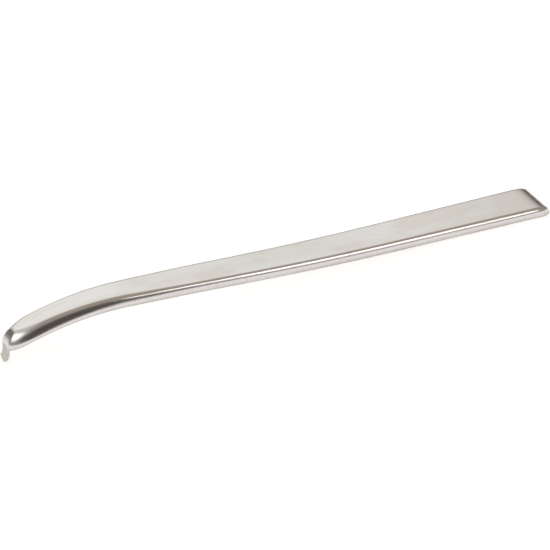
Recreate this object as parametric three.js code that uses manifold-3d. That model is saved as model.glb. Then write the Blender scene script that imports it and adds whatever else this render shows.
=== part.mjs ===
// Bicycle tyre lever, pressed from one strip of plated steel.
//
// Millimetres, +Z up. The lever lies as it does on a bench: on the tip of its spoke
// hook and on the rim at its tail. X runs from the nose to the tail, Y across it, and
// the origin is under the middle of the lever, on the surface that it lies on.
//
// The strip is a long shallow tray, open side down: a flat web whose edge rolls over
// all round into a short upright rim. The nose curves down, and its front wall runs on
// into a narrow neck with a leaf-shaped hook, whose barb catches a spoke on the +Y side.

import * as THREE from 'three';
import { mergeVertices } from 'three/addons/utils/BufferGeometryUtils.js';
import Module from 'manifold-3d';

const { clamp, degToRad, lerp, smoothstep } = THREE.MathUtils;

// ---- Driving dimensions ----

const LENGTH = 125.3; // from the nose's front wall to the tail's end

// Plan view: widths that the straight sides would have at the two ends
const TAIL_WIDTH = 10.3;
const NOSE_WIDTH = 7.1;
const NOSE_ROUND = 6.4; // how far the rounded nose reaches along the strip

// Side view: slopes of the web, height per length, positive where it climbs to the tail
const NOSE_SLOPE = 0.33;
const MIDDLE_SLOPE = -0.099;
const TAIL_SLOPE = -0.054;
const NOSE_SWEEP_END = 26; // the nose curves down from here to its front
const TAIL_SWEEP_START = 54; // the gentle rise towards the tail starts here
const TAIL_SWEEP_END = 87; // and from here to the tail the strip is straight

// Pressed section: sheet, rolled edges, and depth from the web's top to the rim's foot
const SHEET = 1.0;
const TAIL_ROLL = 1.0;
const TAIL_END_ROLL = 2.4; // length of the roll along the strip, at the tail's end
const TAIL_END_FALL = 1.6; // and how far it falls there
const NOSE_ROLL = 1.9;
const NOSE_FALL = 2.2; // the nose's roll falls further than it is wide
const FRONT_ROLL = 2.2; // the bend over the neck, at the very front of the nose
const FRONT_FALL = 2.4;
const TAIL_DEPTH = 2.2;
const NOSE_DEPTH = 2.55;
const FRONT_DEPTH = 3.1; // at the very front, where the rim dips towards the neck
const PRESSING_FADE = 45; // the deeper pressing of the nose fades out by here
const HOLLOW_FILLET = 0.9; // width of the slope from the rim's foot up to the web

// Neck and spoke hook: a leaf-shaped plate that hangs from the nose's front wall
const NECK_WIDTH = 2.3;
const HOOK_THICKNESS = 0.7;
const BARB_REACH = 2.1; // from the hook's tip out to the barb's point, towards +Y
const BARB_HEIGHT = 0.9; // from the tip up to the barb's point
const THROAT_HEIGHT = 1.8; // and up to where the barb leaves the neck
const BLADE_HEIGHT = 2.4; // up to where the plain side is as wide as the neck
const HOOK_LEAN = 7; // degrees by which the plate leans forward towards its tip

// Fineness of the mesh
const ROLL_STEPS = 5;
const WEB_STEPS = 3; // from the roll to the middle of the web
const NOSE_STEPS = 11;
const CURVED_STEPS = 20;
const STRAIGHT_STEPS = 7;
const TAIL_STEPS = 6;
const OUTLINE_POINTS = 48; // points on each rounded end, for distances to the outline
const HOOK_CURVE_STEPS = 5;

// ---- Plan and side curves ----

// Width of the strip without its rounded ends, at x from the nose's front wall.
function bodyWidth(x) {
  return lerp(NOSE_WIDTH, TAIL_WIDTH, x / LENGTH);
}

// How far x is through the roll at the tail's end: 0 where it starts, 1 at the end.
function tailRollShare(x) {
  return clamp(1 - (LENGTH - x) / TAIL_END_ROLL, 0, 1);
}

// Half the real width at x. The nose closes in on the neck along an ellipse, and the
// tail's corners are ellipses as wide as the side's roll and as long as the end's.
function halfWidth(x) {
  const half = bodyWidth(x) / 2;
  if (x < NOSE_ROUND) {
    const along = 1 - x / NOSE_ROUND;
    return lerp(NECK_WIDTH / 2, half, Math.sqrt(1 - along * along));
  }
  return half - TAIL_ROLL * (1 - Math.sqrt(1 - tailRollShare(x) ** 2));
}

// Height gained by x on a stretch where the slope changes evenly to another value.
function sweepRise(x, start, end, slopeBefore, slopeAfter) {
  const run = clamp(x - start, 0, end - start);
  return slopeBefore * run + ((slopeAfter - slopeBefore) * run * run) / (2 * (end - start));
}

// Height of the web's top at x over its height at the front.
function rise(x) {
  return (
    sweepRise(x, 0, NOSE_SWEEP_END, NOSE_SLOPE, MIDDLE_SLOPE) +
    sweepRise(x, NOSE_SWEEP_END, TAIL_SWEEP_START, MIDDLE_SLOPE, MIDDLE_SLOPE) +
    sweepRise(x, TAIL_SWEEP_START, TAIL_SWEEP_END, MIDDLE_SLOPE, TAIL_SLOPE) +
    sweepRise(x, TAIL_SWEEP_END, LENGTH, TAIL_SLOPE, TAIL_SLOPE)
  );
}

// The rim's foot touches the bench at the tail, which sets every other height.
const FRONT_HEIGHT = TAIL_DEPTH - rise(LENGTH);

function webTop(x) {
  return FRONT_HEIGHT + rise(x);
}

// A pressed size that has one value at the nose and fades to another at the tail.
function pressed(x, atNose, atTail) {
  return lerp(atNose, atTail, smoothstep(x, 0, PRESSING_FADE));
}

function rollRadius(x) {
  return lerp(FRONT_ROLL, pressed(x, NOSE_ROLL, TAIL_ROLL), smoothstep(x, 0, NOSE_ROUND));
}

// How far the roll falls from the web to the top of the upright rim.
function rollFall(x) {
  return lerp(FRONT_FALL, pressed(x, NOSE_FALL, TAIL_ROLL), smoothstep(x, 0, NOSE_ROUND));
}

function rimDepth(x) {
  return lerp(FRONT_DEPTH, pressed(x, NOSE_DEPTH, TAIL_DEPTH), smoothstep(x, 0, NOSE_ROUND));
}

// ---- The pressed strip ----

// Stations along the strip, close together round the nose and over the tail's end.
function stationsAlong() {
  const stations = [];
  for (let i = 0; i < NOSE_STEPS; i += 1) {
    stations.push(NOSE_ROUND * (1 - Math.cos((i / NOSE_STEPS) * (Math.PI / 2))));
  }
  for (let i = 0; i < CURVED_STEPS; i += 1) {
    stations.push(lerp(NOSE_ROUND, TAIL_SWEEP_END, i / CURVED_STEPS));
  }
  const tailStart = LENGTH - TAIL_END_ROLL;
  for (let i = 0; i < STRAIGHT_STEPS; i += 1) {
    stations.push(lerp(TAIL_SWEEP_END, tailStart, i / STRAIGHT_STEPS));
  }
  for (let i = 0; i <= TAIL_STEPS; i += 1) {
    stations.push(tailStart + TAIL_END_ROLL * Math.sin((i / TAIL_STEPS) * (Math.PI / 2)));
  }
  return stations;
}

// Share of the half width by which column i of the mesh stands in from the outline.
function insetShare(i, x) {
  const place = clamp(x, NOSE_ROUND, LENGTH - TAIL_END_ROLL);
  const rollShare = rollRadius(place) / halfWidth(place);
  if (i <= ROLL_STEPS) {
    return rollShare * (1 - Math.cos((i / ROLL_STEPS) * (Math.PI / 2)));
  }
  return lerp(rollShare, 1, (i - ROLL_STEPS) / WEB_STEPS);
}

// Points of the outline on the +Y side, from the middle of one end to the other's.
function outlinePoints() {
  const points = [new THREE.Vector2(0, 0)];
  for (let i = 0; i <= OUTLINE_POINTS; i += 1) {
    const x = NOSE_ROUND * (1 - Math.cos((i / OUTLINE_POINTS) * (Math.PI / 2)));
    points.push(new THREE.Vector2(x, halfWidth(x)));
  }
  for (let i = 0; i <= OUTLINE_POINTS; i += 1) {
    const x = LENGTH - TAIL_END_ROLL * (1 - Math.sin((i / OUTLINE_POINTS) * (Math.PI / 2)));
    points.push(new THREE.Vector2(x, halfWidth(x)));
  }
  points.push(new THREE.Vector2(LENGTH, 0));
  return points;
}

const OUTLINE = outlinePoints();

// Distance from a point of the plan to the outline.
function distanceToOutline(x, y) {
  const point = new THREE.Vector3(x, Math.abs(y), 0);
  const nearest = new THREE.Vector3();
  const edge = new THREE.Line3();
  let distance = Infinity;
  for (let i = 1; i < OUTLINE.length; i += 1) {
    edge.start.set(OUTLINE[i - 1].x, OUTLINE[i - 1].y, 0);
    edge.end.set(OUTLINE[i].x, OUTLINE[i].y, 0);
    edge.closestPointToPoint(point, true, nearest);
    distance = Math.min(distance, nearest.distanceTo(point));
  }
  return distance;
}

// The web's top, rolled down towards the outline. The roll is as wide all round the
// nose and along the sides, and at the tail it runs into the longer roll of the end.
function topHeight(x, y) {
  const radius = rollRadius(x);
  const along = tailRollShare(x);
  const inset = along > 0 ? bodyWidth(x) / 2 - Math.abs(y) : distanceToOutline(x, y);
  const across = clamp(1 - inset / radius, 0, 1);
  const fall = 1 - Math.sqrt(Math.max(1 - across ** 2 - along ** 2, 0));
  return webTop(x) - lerp(rollFall(x), TAIL_END_FALL, along) * fall;
}

// The underside: a foot as wide as the sheet, then a slope up to the hollow web.
function undersideHeight(x, y) {
  const hollow = rimDepth(x) - SHEET;
  const inset = distanceToOutline(x, y);
  return webTop(x) - rimDepth(x) + hollow * smoothstep(inset, SHEET, SHEET + HOLLOW_FILLET);
}

// A box of mesh cells is laid on the plan, and its two faces are pressed to height.
function pressedStrip() {
  const stations = stationsAlong();
  const halfColumns = ROLL_STEPS + WEB_STEPS;
  const cellsAlong = stations.length - 1;
  const cellsAcross = 2 * halfColumns;
  const geometry = new THREE.BoxGeometry(cellsAlong, cellsAcross, 1, cellsAlong, cellsAcross, 1);
  const position = geometry.getAttribute('position');
  for (let i = 0; i < position.count; i += 1) {
    const x = stations[Math.round(position.getX(i) + cellsAlong / 2)];
    const column = Math.round(position.getY(i));
    const share = insetShare(halfColumns - Math.abs(column), x);
    const y = Math.sign(column) * halfWidth(x) * (1 - share);
    const height = position.getZ(i) > 0 ? topHeight(x, y) : undersideHeight(x, y);
    position.setXYZ(i, x, y, height);
  }
  return geometry;
}

// ---- Neck and spoke hook ----

// The hook's outline, in Y and Z, from its tip round the barb, up the neck and down its
// plain side. The neck's root is inside the nose's front wall.
function hookOutline() {
  const neck = NECK_WIDTH / 2;
  const root = FRONT_HEIGHT - FRONT_FALL;
  const outline = new THREE.Shape();
  outline.moveTo(0, 0);
  outline.quadraticCurveTo(BARB_REACH * 0.6, 0, BARB_REACH, BARB_HEIGHT);
  outline.quadraticCurveTo(neck, lerp(BARB_HEIGHT, THROAT_HEIGHT, 0.4), neck, THROAT_HEIGHT);
  outline.lineTo(neck, root);
  outline.lineTo(-neck, root);
  outline.lineTo(-neck, BLADE_HEIGHT);
  outline.quadraticCurveTo(-neck, BLADE_HEIGHT * 0.4, 0, 0);
  return outline;
}

function hookPlate() {
  const geometry = new THREE.ExtrudeGeometry(hookOutline(), {
    depth: HOOK_THICKNESS,
    bevelEnabled: false,
    curveSegments: HOOK_CURVE_STEPS,
  });
  // The drawing's X becomes Y, its Y becomes Z, and the plate's thickness runs along X.
  const upright = new THREE.Matrix4().makeBasis(
    new THREE.Vector3(0, 1, 0),
    new THREE.Vector3(0, 0, 1),
    new THREE.Vector3(1, 0, 0),
  );
  geometry.applyMatrix4(upright);
  // The lean turns the plate about its root, where it meets the front wall, and the
  // lower edge of its tip stays on the bench.
  const lean = degToRad(HOOK_LEAN);
  const root = FRONT_HEIGHT - FRONT_FALL;
  geometry.translate(0, 0, -root);
  geometry.rotateY(lean);
  geometry.translate(0, 0, root * Math.cos(lean) + HOOK_THICKNESS * Math.sin(lean));
  return geometry;
}

// ---- Joining ----

const wasm = await Module();
wasm.setup();

function toSolid(geometry) {
  const bare = geometry.clone();
  bare.deleteAttribute('normal');
  bare.deleteAttribute('uv');
  const welded = mergeVertices(bare, 1e-5);
  return new wasm.Manifold(
    new wasm.Mesh({
      numProp: 3,
      vertProperties: new Float32Array(welded.getAttribute('position').array),
      triVerts: new Uint32Array(welded.index.array),
    }),
  );
}

function toGeometry(solid) {
  const mesh = solid.getMesh();
  const geometry = new THREE.BufferGeometry();
  geometry.setAttribute('position', new THREE.BufferAttribute(mesh.vertProperties, 3));
  geometry.setIndex(new THREE.BufferAttribute(mesh.triVerts, 1));
  geometry.computeVertexNormals();
  return geometry;
}

const platedSteel = new THREE.MeshStandardMaterial({
  color: 0xd3cfca,
  metalness: 1,
  roughness: 0.28,
});

const lever = new THREE.Mesh(toGeometry(toSolid(pressedStrip()).add(toSolid(hookPlate()))), platedSteel);
lever.name = 'lever';
lever.geometry.computeBoundingBox();
lever.position.x = -(lever.geometry.boundingBox.min.x + lever.geometry.boundingBox.max.x) / 2;

const part = new THREE.Group();
part.add(lever);

export default part;
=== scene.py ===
"""Bicycle tyre lever, pressed from one strip of plated steel, on a pale studio floor.

The strip is a long shallow tray that lies open side down. Its edge rolls over all round
into a short upright rim, its nose curves down, and a narrow neck with a leaf-shaped spoke
hook hangs from the nose's front wall.
"""

import logging
import math
from dataclasses import dataclass, field
from enum import Enum

import bmesh
import bpy
from mathutils import Matrix, Vector


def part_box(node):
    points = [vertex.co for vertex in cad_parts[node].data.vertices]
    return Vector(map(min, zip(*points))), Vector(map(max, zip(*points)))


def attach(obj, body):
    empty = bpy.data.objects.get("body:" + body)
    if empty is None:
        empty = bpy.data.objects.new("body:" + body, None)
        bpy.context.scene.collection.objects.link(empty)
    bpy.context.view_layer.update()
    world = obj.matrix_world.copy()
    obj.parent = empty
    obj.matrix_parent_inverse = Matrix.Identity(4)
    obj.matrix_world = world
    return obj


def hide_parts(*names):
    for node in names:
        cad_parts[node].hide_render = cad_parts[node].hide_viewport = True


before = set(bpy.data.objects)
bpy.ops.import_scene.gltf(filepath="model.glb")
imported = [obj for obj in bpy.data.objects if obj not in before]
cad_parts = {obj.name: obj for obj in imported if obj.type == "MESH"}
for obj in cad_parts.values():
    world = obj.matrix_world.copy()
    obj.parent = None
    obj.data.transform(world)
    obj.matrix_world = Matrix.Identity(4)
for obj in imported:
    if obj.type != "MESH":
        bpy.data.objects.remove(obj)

log = logging.getLogger("tyre_lever")

MM = 0.001
QUARTER_TURN = math.pi / 2

# Sizes that two parts of the lever share, in millimetres
STRIP_LENGTH = 125.3  # from the nose's front wall to the tail's end
NECK_WIDTH = 2.3  # of the nose's front end, and of the hook that hangs from it

# A mix node has several inputs of one name, so its colour inputs go by number
MIX_AMOUNT, MIX_UNDER, MIX_OVER = 0, 6, 7
MIX_RESULT = 2

Colour = tuple[float, float, float, float]


# ---- Small shared functions ----


def clamp(value: float, low: float = 0.0, high: float = 1.0) -> float:
    """Returns value, held between low and high."""
    return max(low, min(high, value))


def lerp(start: float, end: float, share: float) -> float:
    """Returns the value that lies share of the way from start to end."""
    return start + (end - start) * share


def smooth_step(value: float, low: float, high: float) -> float:
    """Returns 0 at low and 1 at high, with an even start and stop."""
    share = clamp((value - low) / (high - low))
    return share * share * (3 - 2 * share)


def round_fall(share: float, fullness: float = 2.0) -> float:
    """Returns how far a rolled edge has fallen, share of the way out from its top.

    Args:
        share: From 0 at the top to 1 at the outline.
        fullness: 2 for a quarter circle; more starts the bend more gently.

    Returns:
        The share of the whole fall.
    """
    return 1 - max(1 - min(share, 1.0) ** fullness, 0.0) ** (1 / fullness)


def hex_colour(code: str) -> Colour:
    """Turns an sRGB hex colour into linear RGBA.

    Args:
        code: Six hex digits after a hash sign.

    Returns:
        The linear red, green and blue, and an alpha of 1.
    """
    linear = []
    for start in (1, 3, 5):
        value = int(code[start : start + 2], 16) / 255
        linear.append(value / 12.92 if value <= 0.04045 else ((value + 0.055) / 1.055) ** 2.4)
    return (*linear, 1.0)


def add_node(
    tree: bpy.types.NodeTree, kind: str, links: dict | None = None, **settings: object
) -> bpy.types.Node:
    """Adds a node with its settings, input values and links.

    Args:
        tree: The node tree that gets the node.
        kind: The node's Blender type name.
        links: For each input, by name or number, a value or the socket to link to it.
        **settings: Properties of the node itself.

    Returns:
        The new node.
    """
    node = tree.nodes.new(kind)
    for name, value in settings.items():
        setattr(node, name, value)
    for name, value in (links or {}).items():
        if isinstance(value, bpy.types.NodeSocket):
            tree.links.new(value, node.inputs[name])
        else:
            node.inputs[name].default_value = value
    return node


# ---- Finishes ----


@dataclass(frozen=True)
class Traces:
    """How strongly each trace on the plate shows in one of its properties."""

    grain: float = 0.0
    cloud: float = 0.0
    rim: float = 0.0
    draw_marks: float = 0.0
    hollow: float = 0.0
    scratches: float = 0.0
    wear: float = 0.0


@dataclass(frozen=True)
class BrightNickelOnPressedSteel:
    """Bright nickel plate on pressed sheet steel.

    The plate mirrors the room softly: the sheet's rolling grain runs lengthwise under it,
    the die leaves slanting draw marks on the upright rims, the hollow underside stays
    matt, and the plate wears to grey steel along the rim's foot.
    """

    bright: str = "#e1e0de"
    warm: str = "#dbd7d1"
    drawn: str = "#d4d0d0"
    bare_steel: str = "#a39d95"
    roughness: float = 0.2
    grain_spacing: float = 0.34  # drawn about twice as coarse as it is, so that it shows
    grain_length: float = 16.0
    cloud_size: float = 6.0
    cloud_length: float = 18.0
    draw_mark_spacing: float = 0.55
    draw_mark_length: float = 5.0
    draw_mark_slant: float = 38.0
    scratch_spacing: float = 0.22
    scratch_length: float = 9.0
    scratch_height: float = 40.0
    scratch_turn: float = 9.0
    rim_tilt: tuple[float, float] = (0.35, 0.75)  # the rim's look fades out between these
    hollow_tilt: tuple[float, float] = (-0.9, -0.2)  # and the hollow's between these
    cloud_edges: tuple[float, float] = (0.35, 0.65)
    scratch_edges: tuple[float, float] = (0.7, 0.78)
    tint: Traces = Traces(rim=0.3, draw_marks=0.9, scratches=0.35)
    dullness: Traces = Traces(
        grain=0.16, cloud=0.03, draw_marks=0.12, hollow=0.2, scratches=0.15, wear=0.25
    )
    trace_offset: float = 0.12  # taken off the roughness, for what the traces add to it
    height: Traces = Traces(grain=0.5, draw_marks=0.9, scratches=-0.5, cloud=0.04)
    relief: float = 0.012
    relief_strength: float = 0.5

    def streaks(
        self,
        tree: bpy.types.NodeTree,
        coords: bpy.types.NodeSocket,
        turn: tuple[float, float, float],
        spacings: tuple[float, float, float],
        detail: float,
    ) -> bpy.types.NodeSocket:
        """Adds noise that is stretched along one direction.

        Args:
            tree: The material's node tree.
            coords: The piece's own coordinates.
            turn: Turn of the pattern about X, Y and Z, in degrees.
            spacings: Size of one streak along the turned X, Y and Z, in millimetres.
            detail: Octaves of finer noise.

        Returns:
            The noise value, from 0 to 1.
        """
        turned = add_node(
            tree,
            "ShaderNodeMapping",
            {"Vector": coords, "Rotation": tuple(math.radians(angle) for angle in turn)},
        )
        sized = add_node(
            tree,
            "ShaderNodeMapping",
            {
                "Vector": turned.outputs["Vector"],
                "Scale": tuple(1 / (spacing * MM) for spacing in spacings),
            },
        )
        noise = add_node(
            tree,
            "ShaderNodeTexNoise",
            {"Vector": sized.outputs["Vector"], "Scale": 1.0, "Detail": detail, "Roughness": 0.6},
        )
        return noise.outputs["Fac"]

    def sum_of(
        self,
        tree: bpy.types.NodeTree,
        terms: list[tuple[bpy.types.NodeSocket, float]],
        start: float = 0.0,
    ) -> bpy.types.NodeSocket:
        """Adds up values, each with its own weight.

        Args:
            tree: The material's node tree.
            terms: Each value with its weight.
            start: The number that the sum starts from.

        Returns:
            The sum.
        """
        total: bpy.types.NodeSocket | float = start
        for value, weight in terms:
            node = add_node(
                tree, "ShaderNodeMath", {0: value, 1: weight, 2: total}, operation="MULTIPLY_ADD"
            )
            total = node.outputs["Value"]
        return total

    def material(self) -> bpy.types.Material:
        """Builds the material.

        Returns:
            The finished plate.
        """
        material = bpy.data.materials.new("bright_nickel_on_pressed_steel")
        material.use_nodes = True
        tree = material.node_tree
        tree.nodes.clear()

        coords = add_node(tree, "ShaderNodeTexCoord").outputs["Object"]
        normal = add_node(tree, "ShaderNodeNewGeometry").outputs["Normal"]
        facing = add_node(tree, "ShaderNodeSeparateXYZ", {"Vector": normal}).outputs["Z"]
        upright = add_node(tree, "ShaderNodeMath", {0: facing}, operation="ABSOLUTE")
        worn = add_node(tree, "ShaderNodeAttribute", attribute_name="worn_foot").outputs["Fac"]

        # The sheet's rolling grain, which the plate follows
        spacing = self.grain_spacing
        grain = self.streaks(
            tree, coords, (0, 0, 0), (self.grain_length, spacing, spacing), detail=4
        )
        # Faint clouds from handling, longer than they are wide
        cloud = self.streaks(
            tree,
            coords,
            (0, 0, 0),
            (self.cloud_length, self.cloud_size, self.cloud_size),
            detail=3,
        )
        # Draw marks that the die leaves on the rim, slanting down from the web
        draw = self.streaks(
            tree,
            coords,
            (0, self.draw_mark_slant, 0),
            (self.draw_mark_spacing, self.draw_mark_length, self.draw_mark_length),
            detail=2,
        )
        # A few long scratches from use, a little off the lever's length
        scratch = self.streaks(
            tree,
            coords,
            (0, 0, self.scratch_turn),
            (self.scratch_length, self.scratch_spacing, self.scratch_height),
            detail=1,
        )

        # Where they show: what is read, its two edges, and the share before and after them
        shares = []
        for value, edges, (before, after) in (
            (upright.outputs["Value"], self.rim_tilt, (1.0, 0.0)),
            (facing, self.hollow_tilt, (1.0, 0.0)),
            (cloud, self.cloud_edges, (0.0, 1.0)),
            (scratch, self.scratch_edges, (0.0, 1.0)),
        ):
            share = add_node(
                tree,
                "ShaderNodeMapRange",
                {
                    "Value": value,
                    "From Min": edges[0],
                    "From Max": edges[1],
                    "To Min": before,
                    "To Max": after,
                },
                interpolation_type="SMOOTHSTEP",
            )
            shares.append(share.outputs["Result"])
        on_rim, in_hollow, clouded, scratches = shares
        draw_marks, wear = (
            add_node(tree, "ShaderNodeMath", pair, operation="MULTIPLY").outputs["Value"]
            for pair in ({0: draw, 1: on_rim}, {0: worn, 1: cloud})
        )

        rim_tint = self.sum_of(
            tree, [(on_rim, self.tint.rim), (draw_marks, self.tint.draw_marks)]
        )
        scratch_tint = self.sum_of(tree, [(scratches, self.tint.scratches)])
        colour: bpy.types.NodeSocket | Colour = hex_colour(self.bright)
        for over, amount in (
            (self.warm, clouded),
            (self.drawn, rim_tint),
            (self.bare_steel, wear),
            (self.bare_steel, scratch_tint),
        ):
            coat = add_node(
                tree,
                "ShaderNodeMix",
                {MIX_AMOUNT: amount, MIX_UNDER: colour, MIX_OVER: hex_colour(over)},
                data_type="RGBA",
            )
            colour = coat.outputs[MIX_RESULT]

        roughness = self.sum_of(
            tree,
            [
                (grain, self.dullness.grain),
                (cloud, self.dullness.cloud),
                (draw_marks, self.dullness.draw_marks),
                (in_hollow, self.dullness.hollow),
                (scratches, self.dullness.scratches),
                (wear, self.dullness.wear),
            ],
            self.roughness - self.trace_offset,
        )
        height = self.sum_of(
            tree,
            [
                (grain, self.height.grain),
                (draw_marks, self.height.draw_marks),
                (scratches, self.height.scratches),
                (cloud, self.height.cloud),
            ],
        )
        bump = add_node(
            tree,
            "ShaderNodeBump",
            {"Height": height, "Strength": self.relief_strength, "Distance": self.relief * MM},
        )
        shader = add_node(
            tree,
            "ShaderNodeBsdfPrincipled",
            {
                "Base Color": colour,
                "Metallic": 1.0,
                "Roughness": roughness,
                "Normal": bump.outputs["Normal"],
            },
        )
        add_node(tree, "ShaderNodeOutputMaterial", {"Surface": shader.outputs["BSDF"]})
        return material


@dataclass(frozen=True)
class MattStudioCard:
    """Matt white studio card, which glows a little with the light that it passes on."""

    colour: str = "#f7f7f7"
    roughness: float = 0.9
    roughness_spread: float = 0.05
    shine: float = 0.1
    glow: float = 0.58
    fleck_size: float = 30.0

    def material(self) -> bpy.types.Material:
        """Builds the material.

        Returns:
            The finished card.
        """
        material = bpy.data.materials.new("matt_white_studio_card")
        material.use_nodes = True
        tree = material.node_tree
        tree.nodes.clear()
        coords = add_node(tree, "ShaderNodeTexCoord").outputs["Object"]
        noise = add_node(
            tree,
            "ShaderNodeTexNoise",
            {"Vector": coords, "Scale": 1 / (self.fleck_size * MM), "Detail": 2.0},
        )
        matt = add_node(
            tree,
            "ShaderNodeMapRange",
            {
                "Value": noise.outputs["Fac"],
                "To Min": self.roughness - self.roughness_spread,
                "To Max": 1.0,
            },
        )
        shader = add_node(
            tree,
            "ShaderNodeBsdfPrincipled",
            {
                "Base Color": hex_colour(self.colour),
                "Roughness": matt.outputs["Result"],
                "Specular IOR Level": self.shine,
                "Emission Color": hex_colour(self.colour),
                "Emission Strength": self.glow,
            },
        )
        add_node(tree, "ShaderNodeOutputMaterial", {"Surface": shader.outputs["BSDF"]})
        return material


# ---- The pressed strip ----


class Face(Enum):
    """The two faces of the pressed sheet."""

    TOP = "top"
    UNDERSIDE = "underside"


@dataclass(frozen=True)
class SideCurve:
    """Side view of the strip, as slopes of its web from the nose to the tail."""

    length: float = STRIP_LENGTH
    nose_slope: float = 0.33
    middle_slope: float = -0.099
    tail_slope: float = -0.054
    nose_sweep_end: float = 26.0
    tail_sweep_start: float = 54.0
    tail_sweep_end: float = 87.0
    tail_depth: float = 2.2

    def sweep(self, place: float, start: float, end: float, before: float, after: float) -> float:
        """Works out the height gained on a stretch where the slope changes evenly.

        Args:
            place: Distance from the nose's front wall.
            start: Where the stretch starts.
            end: Where it ends.
            before: Slope at its start.
            after: Slope at its end.

        Returns:
            The height gained by this place.
        """
        run = clamp(place - start, 0, end - start)
        return before * run + (after - before) * run * run / (2 * (end - start))

    def rise(self, place: float) -> float:
        """Works out how far the web has risen since the front.

        Args:
            place: Distance from the nose's front wall.

        Returns:
            The web's height at this place over its height at the front.
        """
        sweeps = (
            (0.0, self.nose_sweep_end, self.nose_slope, self.middle_slope),
            (self.nose_sweep_end, self.tail_sweep_start, self.middle_slope, self.middle_slope),
            (self.tail_sweep_start, self.tail_sweep_end, self.middle_slope, self.tail_slope),
            (self.tail_sweep_end, self.length, self.tail_slope, self.tail_slope),
        )
        return sum(self.sweep(place, *sweep) for sweep in sweeps)

    def front_height(self) -> float:
        """Returns the web's height at the front, with the tail's rim on the floor."""
        return self.tail_depth - self.rise(self.length)

    def web_height(self, place: float) -> float:
        """Returns the height of the web's top at a place."""
        return self.front_height() + self.rise(place)


@dataclass(frozen=True)
class PlanShape:
    """Plan view of the strip: a taper with a rounded nose and a square tail."""

    length: float = STRIP_LENGTH
    nose_width: float = 7.1
    tail_width: float = 10.3
    nose_round: float = 6.4
    neck_width: float = NECK_WIDTH
    tail_roll: float = 1.0
    tail_end_roll: float = 2.4
    outline_steps: int = 56

    def body_half(self, place: float) -> float:
        """Returns half the width of the taper, without its rounded ends."""
        return lerp(self.nose_width, self.tail_width, place / self.length) / 2

    def tail_share(self, place: float) -> float:
        """Returns how far a place is through the roll at the tail's end, from 0 to 1."""
        return clamp(1 - (self.length - place) / self.tail_end_roll)

    def half_width(self, place: float) -> float:
        """Works out half the real width at a place.

        Args:
            place: Distance from the nose's front wall.

        Returns:
            Half the width, which closes in on the neck and round the tail's corners.
        """
        half = self.body_half(place)
        if place < self.nose_round:
            return lerp(half, self.neck_width / 2, round_fall(1 - place / self.nose_round))
        return half - self.tail_roll * round_fall(self.tail_share(place))

    def outline(self) -> list[Vector]:
        """Works out the +Y side of the outline.

        Returns:
            Its points, from the middle of the nose to the middle of the tail.
        """
        shares = [i / self.outline_steps for i in range(self.outline_steps + 1)]
        places = [self.nose_round * (1 - math.cos(share * QUARTER_TURN)) for share in shares]
        tail = self.length - self.tail_end_roll
        places += [tail + self.tail_end_roll * math.sin(share * QUARTER_TURN) for share in shares]
        points = [Vector((place, self.half_width(place))) for place in places]
        return [Vector((0, 0)), *points, Vector((self.length, 0))]


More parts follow.
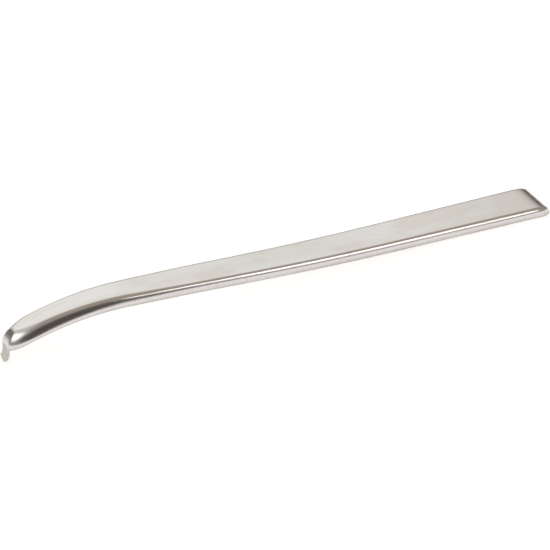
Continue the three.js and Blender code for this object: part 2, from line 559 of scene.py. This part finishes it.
@dataclass
class PressedStrip:
    """The web with its rolled edge and rims, as one closed shell of even sheet."""

    side: SideCurve = field(default_factory=SideCurve)
    plan: PlanShape = field(default_factory=PlanShape)
    sheet: float = 1.0
    tail_fall: float = 1.22
    roll_reach: float = 1.25  # the bend starts this much further in than its radius
    roll_limit: float = 0.8  # the most of the half width that the bend takes up
    roll_fullness: float = 2.15
    nose_slant: float = 0.35  # how far the nose's roll is a slanted flange, not round
    end_reach: float = 1.4
    nose_roll: float = 1.9
    front_roll: float = 2.2
    nose_fall: float = 2.25
    front_fall: float = 2.4
    tail_end_fall: float = 1.6
    nose_depth: float = 2.55
    front_depth: float = 3.1
    pressing_fade: float = 45.0
    hollow_fillet: float = 0.9
    foot_round: float = 0.16
    worn_reach: float = 3.0  # the foot's wear fades out at this many times its rounding
    roll_columns: int = 14
    foot_columns: int = 5
    wall_columns: int = 2
    fillet_columns: int = 9
    side_columns: int = 20
    nose_rows: int = 30
    curved_rows: int = 64
    straight_rows: int = 30
    tail_rows: int = 16

    def __post_init__(self) -> None:
        """Keeps the outline's edges, with what each distance to them needs."""
        points = self.plan.outline()
        self.edges = [
            (start, end - start, (end - start).length_squared)
            for start, end in zip(points, points[1:])
        ]

    def inset(self, place: float, across: float) -> float:
        """Works out the distance from a point of the plan to the outline.

        Args:
            place: The point's distance from the nose's front wall.
            across: Its distance from the middle line, to either side.

        Returns:
            The shortest distance to the outline.
        """
        point = Vector((place, abs(across)))
        nearest = math.inf
        for start, along, squared in self.edges:
            share = clamp((point - start).dot(along) / squared)
            nearest = min(nearest, (start + along * share - point).length_squared)
        return math.sqrt(nearest)

    def pressed(self, place: float, at_nose: float, at_tail: float) -> float:
        """Returns a pressed size that fades from the nose's value to the tail's."""
        return lerp(at_nose, at_tail, smooth_step(place, 0, self.pressing_fade))

    def roll_radius(self, place: float) -> float:
        """Returns the radius of the rolled edge at a place."""
        behind = self.pressed(place, self.nose_roll, self.plan.tail_roll)
        return lerp(self.front_roll, behind, smooth_step(place, 0, self.plan.nose_round))

    def roll_fall(self, place: float) -> float:
        """Returns how far the roll falls from the web to the top of the upright rim."""
        behind = self.pressed(place, self.nose_fall, self.tail_fall)
        return lerp(self.front_fall, behind, smooth_step(place, 0, self.plan.nose_round))

    def rim_depth(self, place: float) -> float:
        """Returns the depth from the web's top to the rim's foot at a place."""
        behind = self.pressed(place, self.nose_depth, self.side.tail_depth)
        return lerp(self.front_depth, behind, smooth_step(place, 0, self.plan.nose_round))

    def top_height(self, place: float, across: float) -> float:
        """Works out the height of the top face, rolled down towards the outline.

        Args:
            place: Distance from the nose's front wall.
            across: Distance from the middle line, to either side.

        Returns:
            The height over the floor.
        """
        radius = self.roll_radius(place) * self.roll_reach
        left = self.plan.length - place
        along = clamp(1 - left / (self.plan.tail_end_roll * self.end_reach))
        if self.plan.tail_share(place) > 0:
            inset = self.plan.body_half(place) - abs(across)
        else:
            inset = self.inset(place, across)
        reach = clamp(1 - inset / radius)
        fall = lerp(self.roll_fall(place), self.tail_end_fall, along)
        out = min(math.hypot(reach, along), 1.0)
        slant = self.pressed(place, self.nose_slant, 0.0)
        bend = lerp(round_fall(out, self.roll_fullness), out * out, slant)
        return self.side.web_height(place) - fall * bend

    def underside_height(self, place: float, across: float) -> float:
        """Works out the height of the underside: a rounded foot, then the hollow.

        Args:
            place: Distance from the nose's front wall.
            across: Distance from the middle line, to either side.

        Returns:
            The height over the floor.
        """
        depth = self.rim_depth(place)
        inset = self.inset(place, across)
        hollow = (depth - self.sheet) * smooth_step(
            inset, self.sheet, self.sheet + self.hollow_fillet
        )
        foot = self.foot_round * round_fall(clamp(1 - inset / self.foot_round))
        return self.side.web_height(place) - depth + max(hollow, foot)

    def rows(self) -> list[float]:
        """Spaces out the mesh's rows, close together at both ends.

        Returns:
            The distance of each row from the nose's front wall.
        """
        nose, tail = self.plan.nose_round, self.plan.length - self.plan.tail_end_roll
        bend = self.side.tail_sweep_end
        places = [
            nose * (1 - math.cos(i / self.nose_rows * QUARTER_TURN)) for i in range(self.nose_rows)
        ]
        places += [lerp(nose, bend, i / self.curved_rows) for i in range(self.curved_rows)]
        places += [lerp(bend, tail, i / self.straight_rows) for i in range(self.straight_rows)]
        places += [
            tail + self.plan.tail_end_roll * math.sin(i / self.tail_rows * QUARTER_TURN)
            for i in range(self.tail_rows + 1)
        ]
        return places

    def column_share(self, column: int, face: Face, place: float) -> float:
        """Works out how far a column of the mesh stands in from the outline.

        Args:
            column: Columns counted in from the outline.
            face: The face that the column is on.
            place: Distance from the nose's front wall.

        Returns:
            The share of the half width, from 0 at the outline to 1 in the middle.
        """
        held = clamp(place, self.plan.nose_round, self.plan.length - self.plan.tail_end_roll)
        half = self.plan.half_width(held)
        if face is Face.TOP:
            reach = min(self.roll_radius(held) * self.roll_reach, self.roll_limit * half)
            marks = [(0, 0.0), (self.roll_columns, reach)]
        else:
            fillet_start = self.foot_columns + self.wall_columns
            marks = [
                (0, 0.0),
                (self.foot_columns, self.foot_round),
                (fillet_start, self.sheet),
                (fillet_start + self.fillet_columns, self.sheet + self.hollow_fillet),
            ]
        marks.append((self.side_columns, half))
        for number, (start, end) in enumerate(zip(marks, marks[1:])):
            if column <= end[0]:
                share = (column - start[0]) / (end[0] - start[0])
                if number == 0:
                    share = 1 - math.cos(share * QUARTER_TURN)
                return lerp(start[1], end[1], share) / half
        return 1.0

    def build(self, front: float) -> bmesh.types.BMesh:
        """Presses a flat double grid to shape.

        Args:
            front: X of the nose's front wall, in millimetres.

        Returns:
            The closed strip, in metres.
        """
        places = self.rows()
        shell = bmesh.new()
        worn = shell.verts.layers.float.new("worn_foot")
        bmesh.ops.create_grid(
            shell, x_segments=len(places) - 1, y_segments=2 * self.side_columns, size=1.0
        )
        lower = list(shell.verts)
        flat = [*shell.verts, *shell.edges, *shell.faces]
        raised = bmesh.ops.extrude_face_region(shell, geom=flat, use_keep_orig=True)
        upper = [item for item in raised["geom"] if isinstance(item, bmesh.types.BMVert)]
        for face, verts in ((Face.UNDERSIDE, lower), (Face.TOP, upper)):
            for vert in verts:
                place = places[round((vert.co.x + 1) / 2 * (len(places) - 1))]
                column = round(vert.co.y * self.side_columns)
                share = self.column_share(self.side_columns - abs(column), face, place)
                across = math.copysign(1, column) * self.plan.half_width(place) * (1 - share)
                if face is Face.TOP:
                    height = self.top_height(place, across)
                else:
                    height = self.underside_height(place, across)
                    vert[worn] = 1 - smooth_step(
                        self.inset(place, across),
                        self.foot_round,
                        self.worn_reach * self.foot_round,
                    )
                vert.co = Vector((front + place, across, height)) * MM
        bmesh.ops.recalc_face_normals(shell, faces=list(shell.faces))
        return shell


# ---- The spoke hook ----


@dataclass
class SpokeHook:
    """Leaf-shaped plate on a narrow neck, whose barb catches a spoke on the +Y side."""

    neck_width: float = NECK_WIDTH
    barb_reach: float = 2.1
    thickness: float = 0.7
    barb_height: float = 0.9
    throat_height: float = 1.8
    blade_height: float = 2.4
    lean: float = 7.0
    edge_round: float = 0.09
    edge_segments: int = 3
    sharp_angle: float = 60.0  # an edge that turns by more than this gets rounded
    barb_pull: float = 0.6  # how far along the barb its under curve is drawn out
    throat_pull: float = 0.4  # how far up to the throat its upper curve is drawn
    blade_pull: float = 0.4  # how far up the blade its curve to the tip is drawn
    curve_steps: int = 9

    def curve(self, start: Vector, pull: Vector, end: Vector) -> list[Vector]:
        """Returns points along a curve that leaves start and heads for end past pull."""
        shares = [i / self.curve_steps for i in range(self.curve_steps)]
        return [start.lerp(pull, share).lerp(pull.lerp(end, share), share) for share in shares]

    def outline(self, root: float) -> list[Vector]:
        """Works out the plate's outline, in Y and Z.

        Args:
            root: Height of the neck's root over the tip, in millimetres.

        Returns:
            Points from the tip round the barb, up the neck and down its plain side.
        """
        neck = self.neck_width / 2
        tip, barb = Vector((0, 0)), Vector((self.barb_reach, self.barb_height))
        throat, blade = Vector((neck, self.throat_height)), Vector((-neck, self.blade_height))
        under = self.curve(tip, Vector((self.barb_reach * self.barb_pull, 0)), barb)
        over_height = lerp(self.barb_height, self.throat_height, self.throat_pull)
        over = self.curve(barb, Vector((neck, over_height)), throat)
        side = self.curve(blade, Vector((-neck, self.blade_height * self.blade_pull)), tip)
        return [*under, *over, throat, Vector((neck, root)), Vector((-neck, root)), *side]

    def build(self, front: float, root: float) -> bmesh.types.BMesh:
        """Cuts the plate out, rounds its edges and leans it forward.

        Args:
            front: X of the nose's front wall, in millimetres.
            root: Height of the neck's root over the tip, in millimetres.

        Returns:
            The closed plate, in metres.
        """
        plate = bmesh.new()
        verts = [plate.verts.new((0, point.x, point.y)) for point in self.outline(root)]
        face = plate.faces.new(verts)
        pushed = bmesh.ops.extrude_face_region(plate, geom=[face, *face.edges], use_keep_orig=True)
        moved = [item for item in pushed["geom"] if isinstance(item, bmesh.types.BMVert)]
        bmesh.ops.translate(plate, verts=moved, vec=(self.thickness, 0, 0))
        bmesh.ops.recalc_face_normals(plate, faces=list(plate.faces))
        sharp = math.radians(self.sharp_angle)
        rims = [edge for edge in plate.edges if edge.calc_face_angle(0) > sharp]
        bmesh.ops.bevel(
            plate,
            geom=rims,
            offset=self.edge_round,
            segments=self.edge_segments,
            profile=0.5,
            affect="EDGES",
            material=-1,
            clamp_overlap=True,
        )
        lean = math.radians(self.lean)
        lift = root * math.cos(lean) + self.thickness * math.sin(lean)
        bmesh.ops.translate(plate, verts=list(plate.verts), vec=(0, 0, -root))
        bmesh.ops.rotate(
            plate, verts=list(plate.verts), matrix=Matrix.Rotation(lean, 3, "Y"), cent=(0, 0, 0)
        )
        bmesh.ops.translate(plate, verts=list(plate.verts), vec=(front, 0, lift))
        bmesh.ops.scale(plate, verts=list(plate.verts), vec=(MM, MM, MM))
        return plate


# ---- The lever ----


@dataclass
class TyreLever:
    """The whole lever: the pressed strip and its spoke hook, as one piece of steel."""

    strip: PressedStrip = field(default_factory=PressedStrip)
    hook: SpokeHook = field(default_factory=SpokeHook)
    finish: BrightNickelOnPressedSteel = field(default_factory=BrightNickelOnPressedSteel)
    crease_angle: float = 38.0

    def as_object(self, name: str, shape: bmesh.types.BMesh) -> bpy.types.Object:
        """Turns a bmesh into an object in the scene, and frees it.

        Args:
            name: The object's name.
            shape: The finished bmesh.

        Returns:
            The object, at the origin.
        """
        mesh = bpy.data.meshes.new(name)
        shape.to_mesh(mesh)
        shape.free()
        piece = bpy.data.objects.new(name, mesh)
        bpy.context.scene.collection.objects.link(piece)
        return piece

    def build(self) -> bpy.types.Object:
        """Builds the strip and the hook and welds them into one closed piece.

        Returns:
            The lever, in the place of the CAD lever.
        """
        _, far_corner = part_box("lever")
        front = far_corner.x / MM - self.strip.plan.length
        root = self.strip.side.front_height() - self.strip.front_fall
        lever = self.as_object("plated_lever", self.strip.build(front))
        hook = self.as_object("hook_blank", self.hook.build(front, root))
        union = lever.modifiers.new("weld", "BOOLEAN")
        union.operation, union.solver, union.object = "UNION", "EXACT", hook
        bpy.context.view_layer.update()
        evaluated = lever.evaluated_get(bpy.context.evaluated_depsgraph_get())
        welded = bpy.data.meshes.new_from_object(evaluated)
        lever.modifiers.clear()
        lever.data = welded
        bpy.data.objects.remove(hook)
        return lever

    def dress(self, lever: bpy.types.Object) -> None:
        """Plates the lever, and smooths its faces up to the real creases.

        Args:
            lever: The finished piece.
        """
        lever.data.materials.clear()
        lever.data.materials.append(self.finish.material())
        lever.data.shade_smooth()
        lever.data.set_sharp_from_angle(angle=math.radians(self.crease_angle))
        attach(lever, "root")
        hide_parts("lever")


# ---- Studio ----


def direction_to(heading: float, elevation: float) -> Vector:
    """Works out a direction from the lever.

    Args:
        heading: Degrees from +X towards +Y.
        elevation: Degrees above the floor.

    Returns:
        The direction, one unit long.
    """
    turn, lift = math.radians(heading), math.radians(elevation)
    flat = math.cos(lift)
    return Vector((math.cos(turn) * flat, math.sin(turn) * flat, math.sin(lift)))


@dataclass(frozen=True)
class Card:
    """A soft panel or a dark flag that stands round the table, as seen from the lever."""

    heading: float
    elevation: float
    spread: float
    softness: float
    colour: str
    level: float = 1.0


@dataclass(frozen=True)
class Studio:
    """Floor, soft panels and dark flags, and the camera."""

    floor_size: float = 6.0
    floor_cells: int = 4
    room: str = "#a19c97"
    cards: tuple[Card, ...] = (
        Card(heading=50, elevation=2, spread=22, softness=16, colour="#78736d"),
        Card(heading=125, elevation=28, spread=17, softness=14, colour="#77736e"),
        Card(heading=28, elevation=70, spread=22, softness=16, colour="#b0a297"),
        Card(heading=-85, elevation=26, spread=36, softness=24, colour="#56504b"),
        Card(heading=82, elevation=41, spread=29, softness=16, colour="#f6f5f3", level=1.1),
        Card(heading=150, elevation=64, spread=17, softness=14, colour="#d2cfcb"),
        Card(heading=194, elevation=44, spread=20, softness=12, colour="#ffffff", level=1.5),
        Card(heading=-62, elevation=2, spread=14, softness=10, colour="#c4c0bc"),
    )
    panel_aim: tuple[float, float, float] = (62.0, -5.0, 3.0)
    panel_heading: float = -57.0
    panel_elevation: float = 41.0
    panel_distance: float = 350.0
    panel_size: tuple[float, float] = (130.0, 230.0)
    panel_level: float = 1.7
    front_heading: float = -90.0  # where a camera at azimuth 0 stands
    azimuth: float = -28.03
    camera_elevation: float = 33.46
    distance: float = 0.6
    aim: tuple[float, float, float] = (-0.13, 0.0, 4.0)
    lens: float = 189.6
    shift: tuple[float, float] = (-0.0119, -0.0203)
    clip: tuple[float, float] = (0.01, 50.0)

    def build_floor(self) -> bpy.types.Object:
        """Lays the floor that the lever lies on.

        Returns:
            The floor.
        """
        sheet = bmesh.new()
        cells = self.floor_cells
        bmesh.ops.create_grid(
            sheet, x_segments=cells, y_segments=cells, size=self.floor_size / 2
        )
        mesh = bpy.data.meshes.new("studio_floor")
        sheet.to_mesh(mesh)
        sheet.free()
        floor = bpy.data.objects.new("studio_floor", mesh)
        floor.data.materials.append(MattStudioCard().material())
        bpy.context.scene.collection.objects.link(floor)
        return floor

    def build_light(self) -> None:
        """Lights the table with the room and with each card in turn."""
        world = bpy.data.worlds.new("studio")
        bpy.context.scene.world = world
        world.use_nodes = True
        tree = world.node_tree
        tree.nodes.clear()
        toward = add_node(tree, "ShaderNodeTexCoord").outputs["Generated"]
        light: bpy.types.NodeSocket | Colour = hex_colour(self.room)
        for card in self.cards:
            near = add_node(
                tree,
                "ShaderNodeVectorMath",
                {0: toward, 1: direction_to(card.heading, card.elevation)},
                operation="DOT_PRODUCT",
            )
            inner = math.cos(math.radians(max(card.spread - card.softness / 2, 0)))
            outer = math.cos(math.radians(card.spread + card.softness / 2))
            mask = add_node(
                tree,
                "ShaderNodeMapRange",
                {"Value": near.outputs["Value"], "From Min": outer, "From Max": inner},
                interpolation_type="SMOOTHSTEP",
            )
            red, green, blue, _ = hex_colour(card.colour)
            shine = (red * card.level, green * card.level, blue * card.level, 1.0)
            layer = add_node(
                tree,
                "ShaderNodeMix",
                {MIX_AMOUNT: mask.outputs["Result"], MIX_UNDER: light, MIX_OVER: shine},
                data_type="RGBA",
            )
            light = layer.outputs[MIX_RESULT]
        background = add_node(tree, "ShaderNodeBackground", {"Color": light, "Strength": 1.0})
        add_node(tree, "ShaderNodeOutputWorld", {"Surface": background.outputs["Background"]})

    def build_panel(self) -> bpy.types.Object:
        """Stands a near soft panel at the tail's side, which fades along the lever.

        Returns:
            The panel's light.
        """
        panel = bpy.data.lights.new("near_soft_panel", "AREA")
        panel.shape = "RECTANGLE"
        panel.size, panel.size_y = (side * MM for side in self.panel_size)
        panel.energy = self.panel_level * math.pi * panel.size * panel.size_y
        light = bpy.data.objects.new("near_soft_panel", panel)
        toward = direction_to(self.panel_heading, self.panel_elevation)
        light.location = (Vector(self.panel_aim) + toward * self.panel_distance) * MM
        light.rotation_mode = "QUATERNION"
        light.rotation_quaternion = (-toward).to_track_quat("-Z", "Y")
        bpy.context.scene.collection.objects.link(light)
        return light

    def build_camera(self) -> bpy.types.Object:
        """Sets the camera up.

        Returns:
            The scene's camera.
        """
        lens = bpy.data.cameras.new("studio_camera")
        lens.lens = self.lens
        lens.shift_x, lens.shift_y = self.shift
        lens.clip_start, lens.clip_end = self.clip
        camera = bpy.data.objects.new("studio_camera", lens)
        back = direction_to(self.front_heading + self.azimuth, self.camera_elevation)
        camera.location = Vector(self.aim) * MM + back * self.distance
        camera.rotation_mode = "QUATERNION"
        camera.rotation_quaternion = (-back).to_track_quat("-Z", "Y")
        bpy.context.scene.collection.objects.link(camera)
        bpy.context.scene.camera = camera
        return camera


def main() -> None:
    logging.basicConfig(level=logging.INFO, format="%(name)s: %(message)s")
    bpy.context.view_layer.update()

    lever = TyreLever()
    piece = lever.build()
    lever.dress(piece)
    log.info("%s: %d faces", piece.name, len(piece.data.polygons))

    studio = Studio()
    floor = studio.build_floor()
    studio.build_light()
    panel = studio.build_panel()
    camera = studio.build_camera()
    bpy.context.scene.view_settings.view_transform = "Standard"
    log.info("%s, %s and %s are in place", floor.name, panel.name, camera.name)


if __name__ == "__main__":
    main()
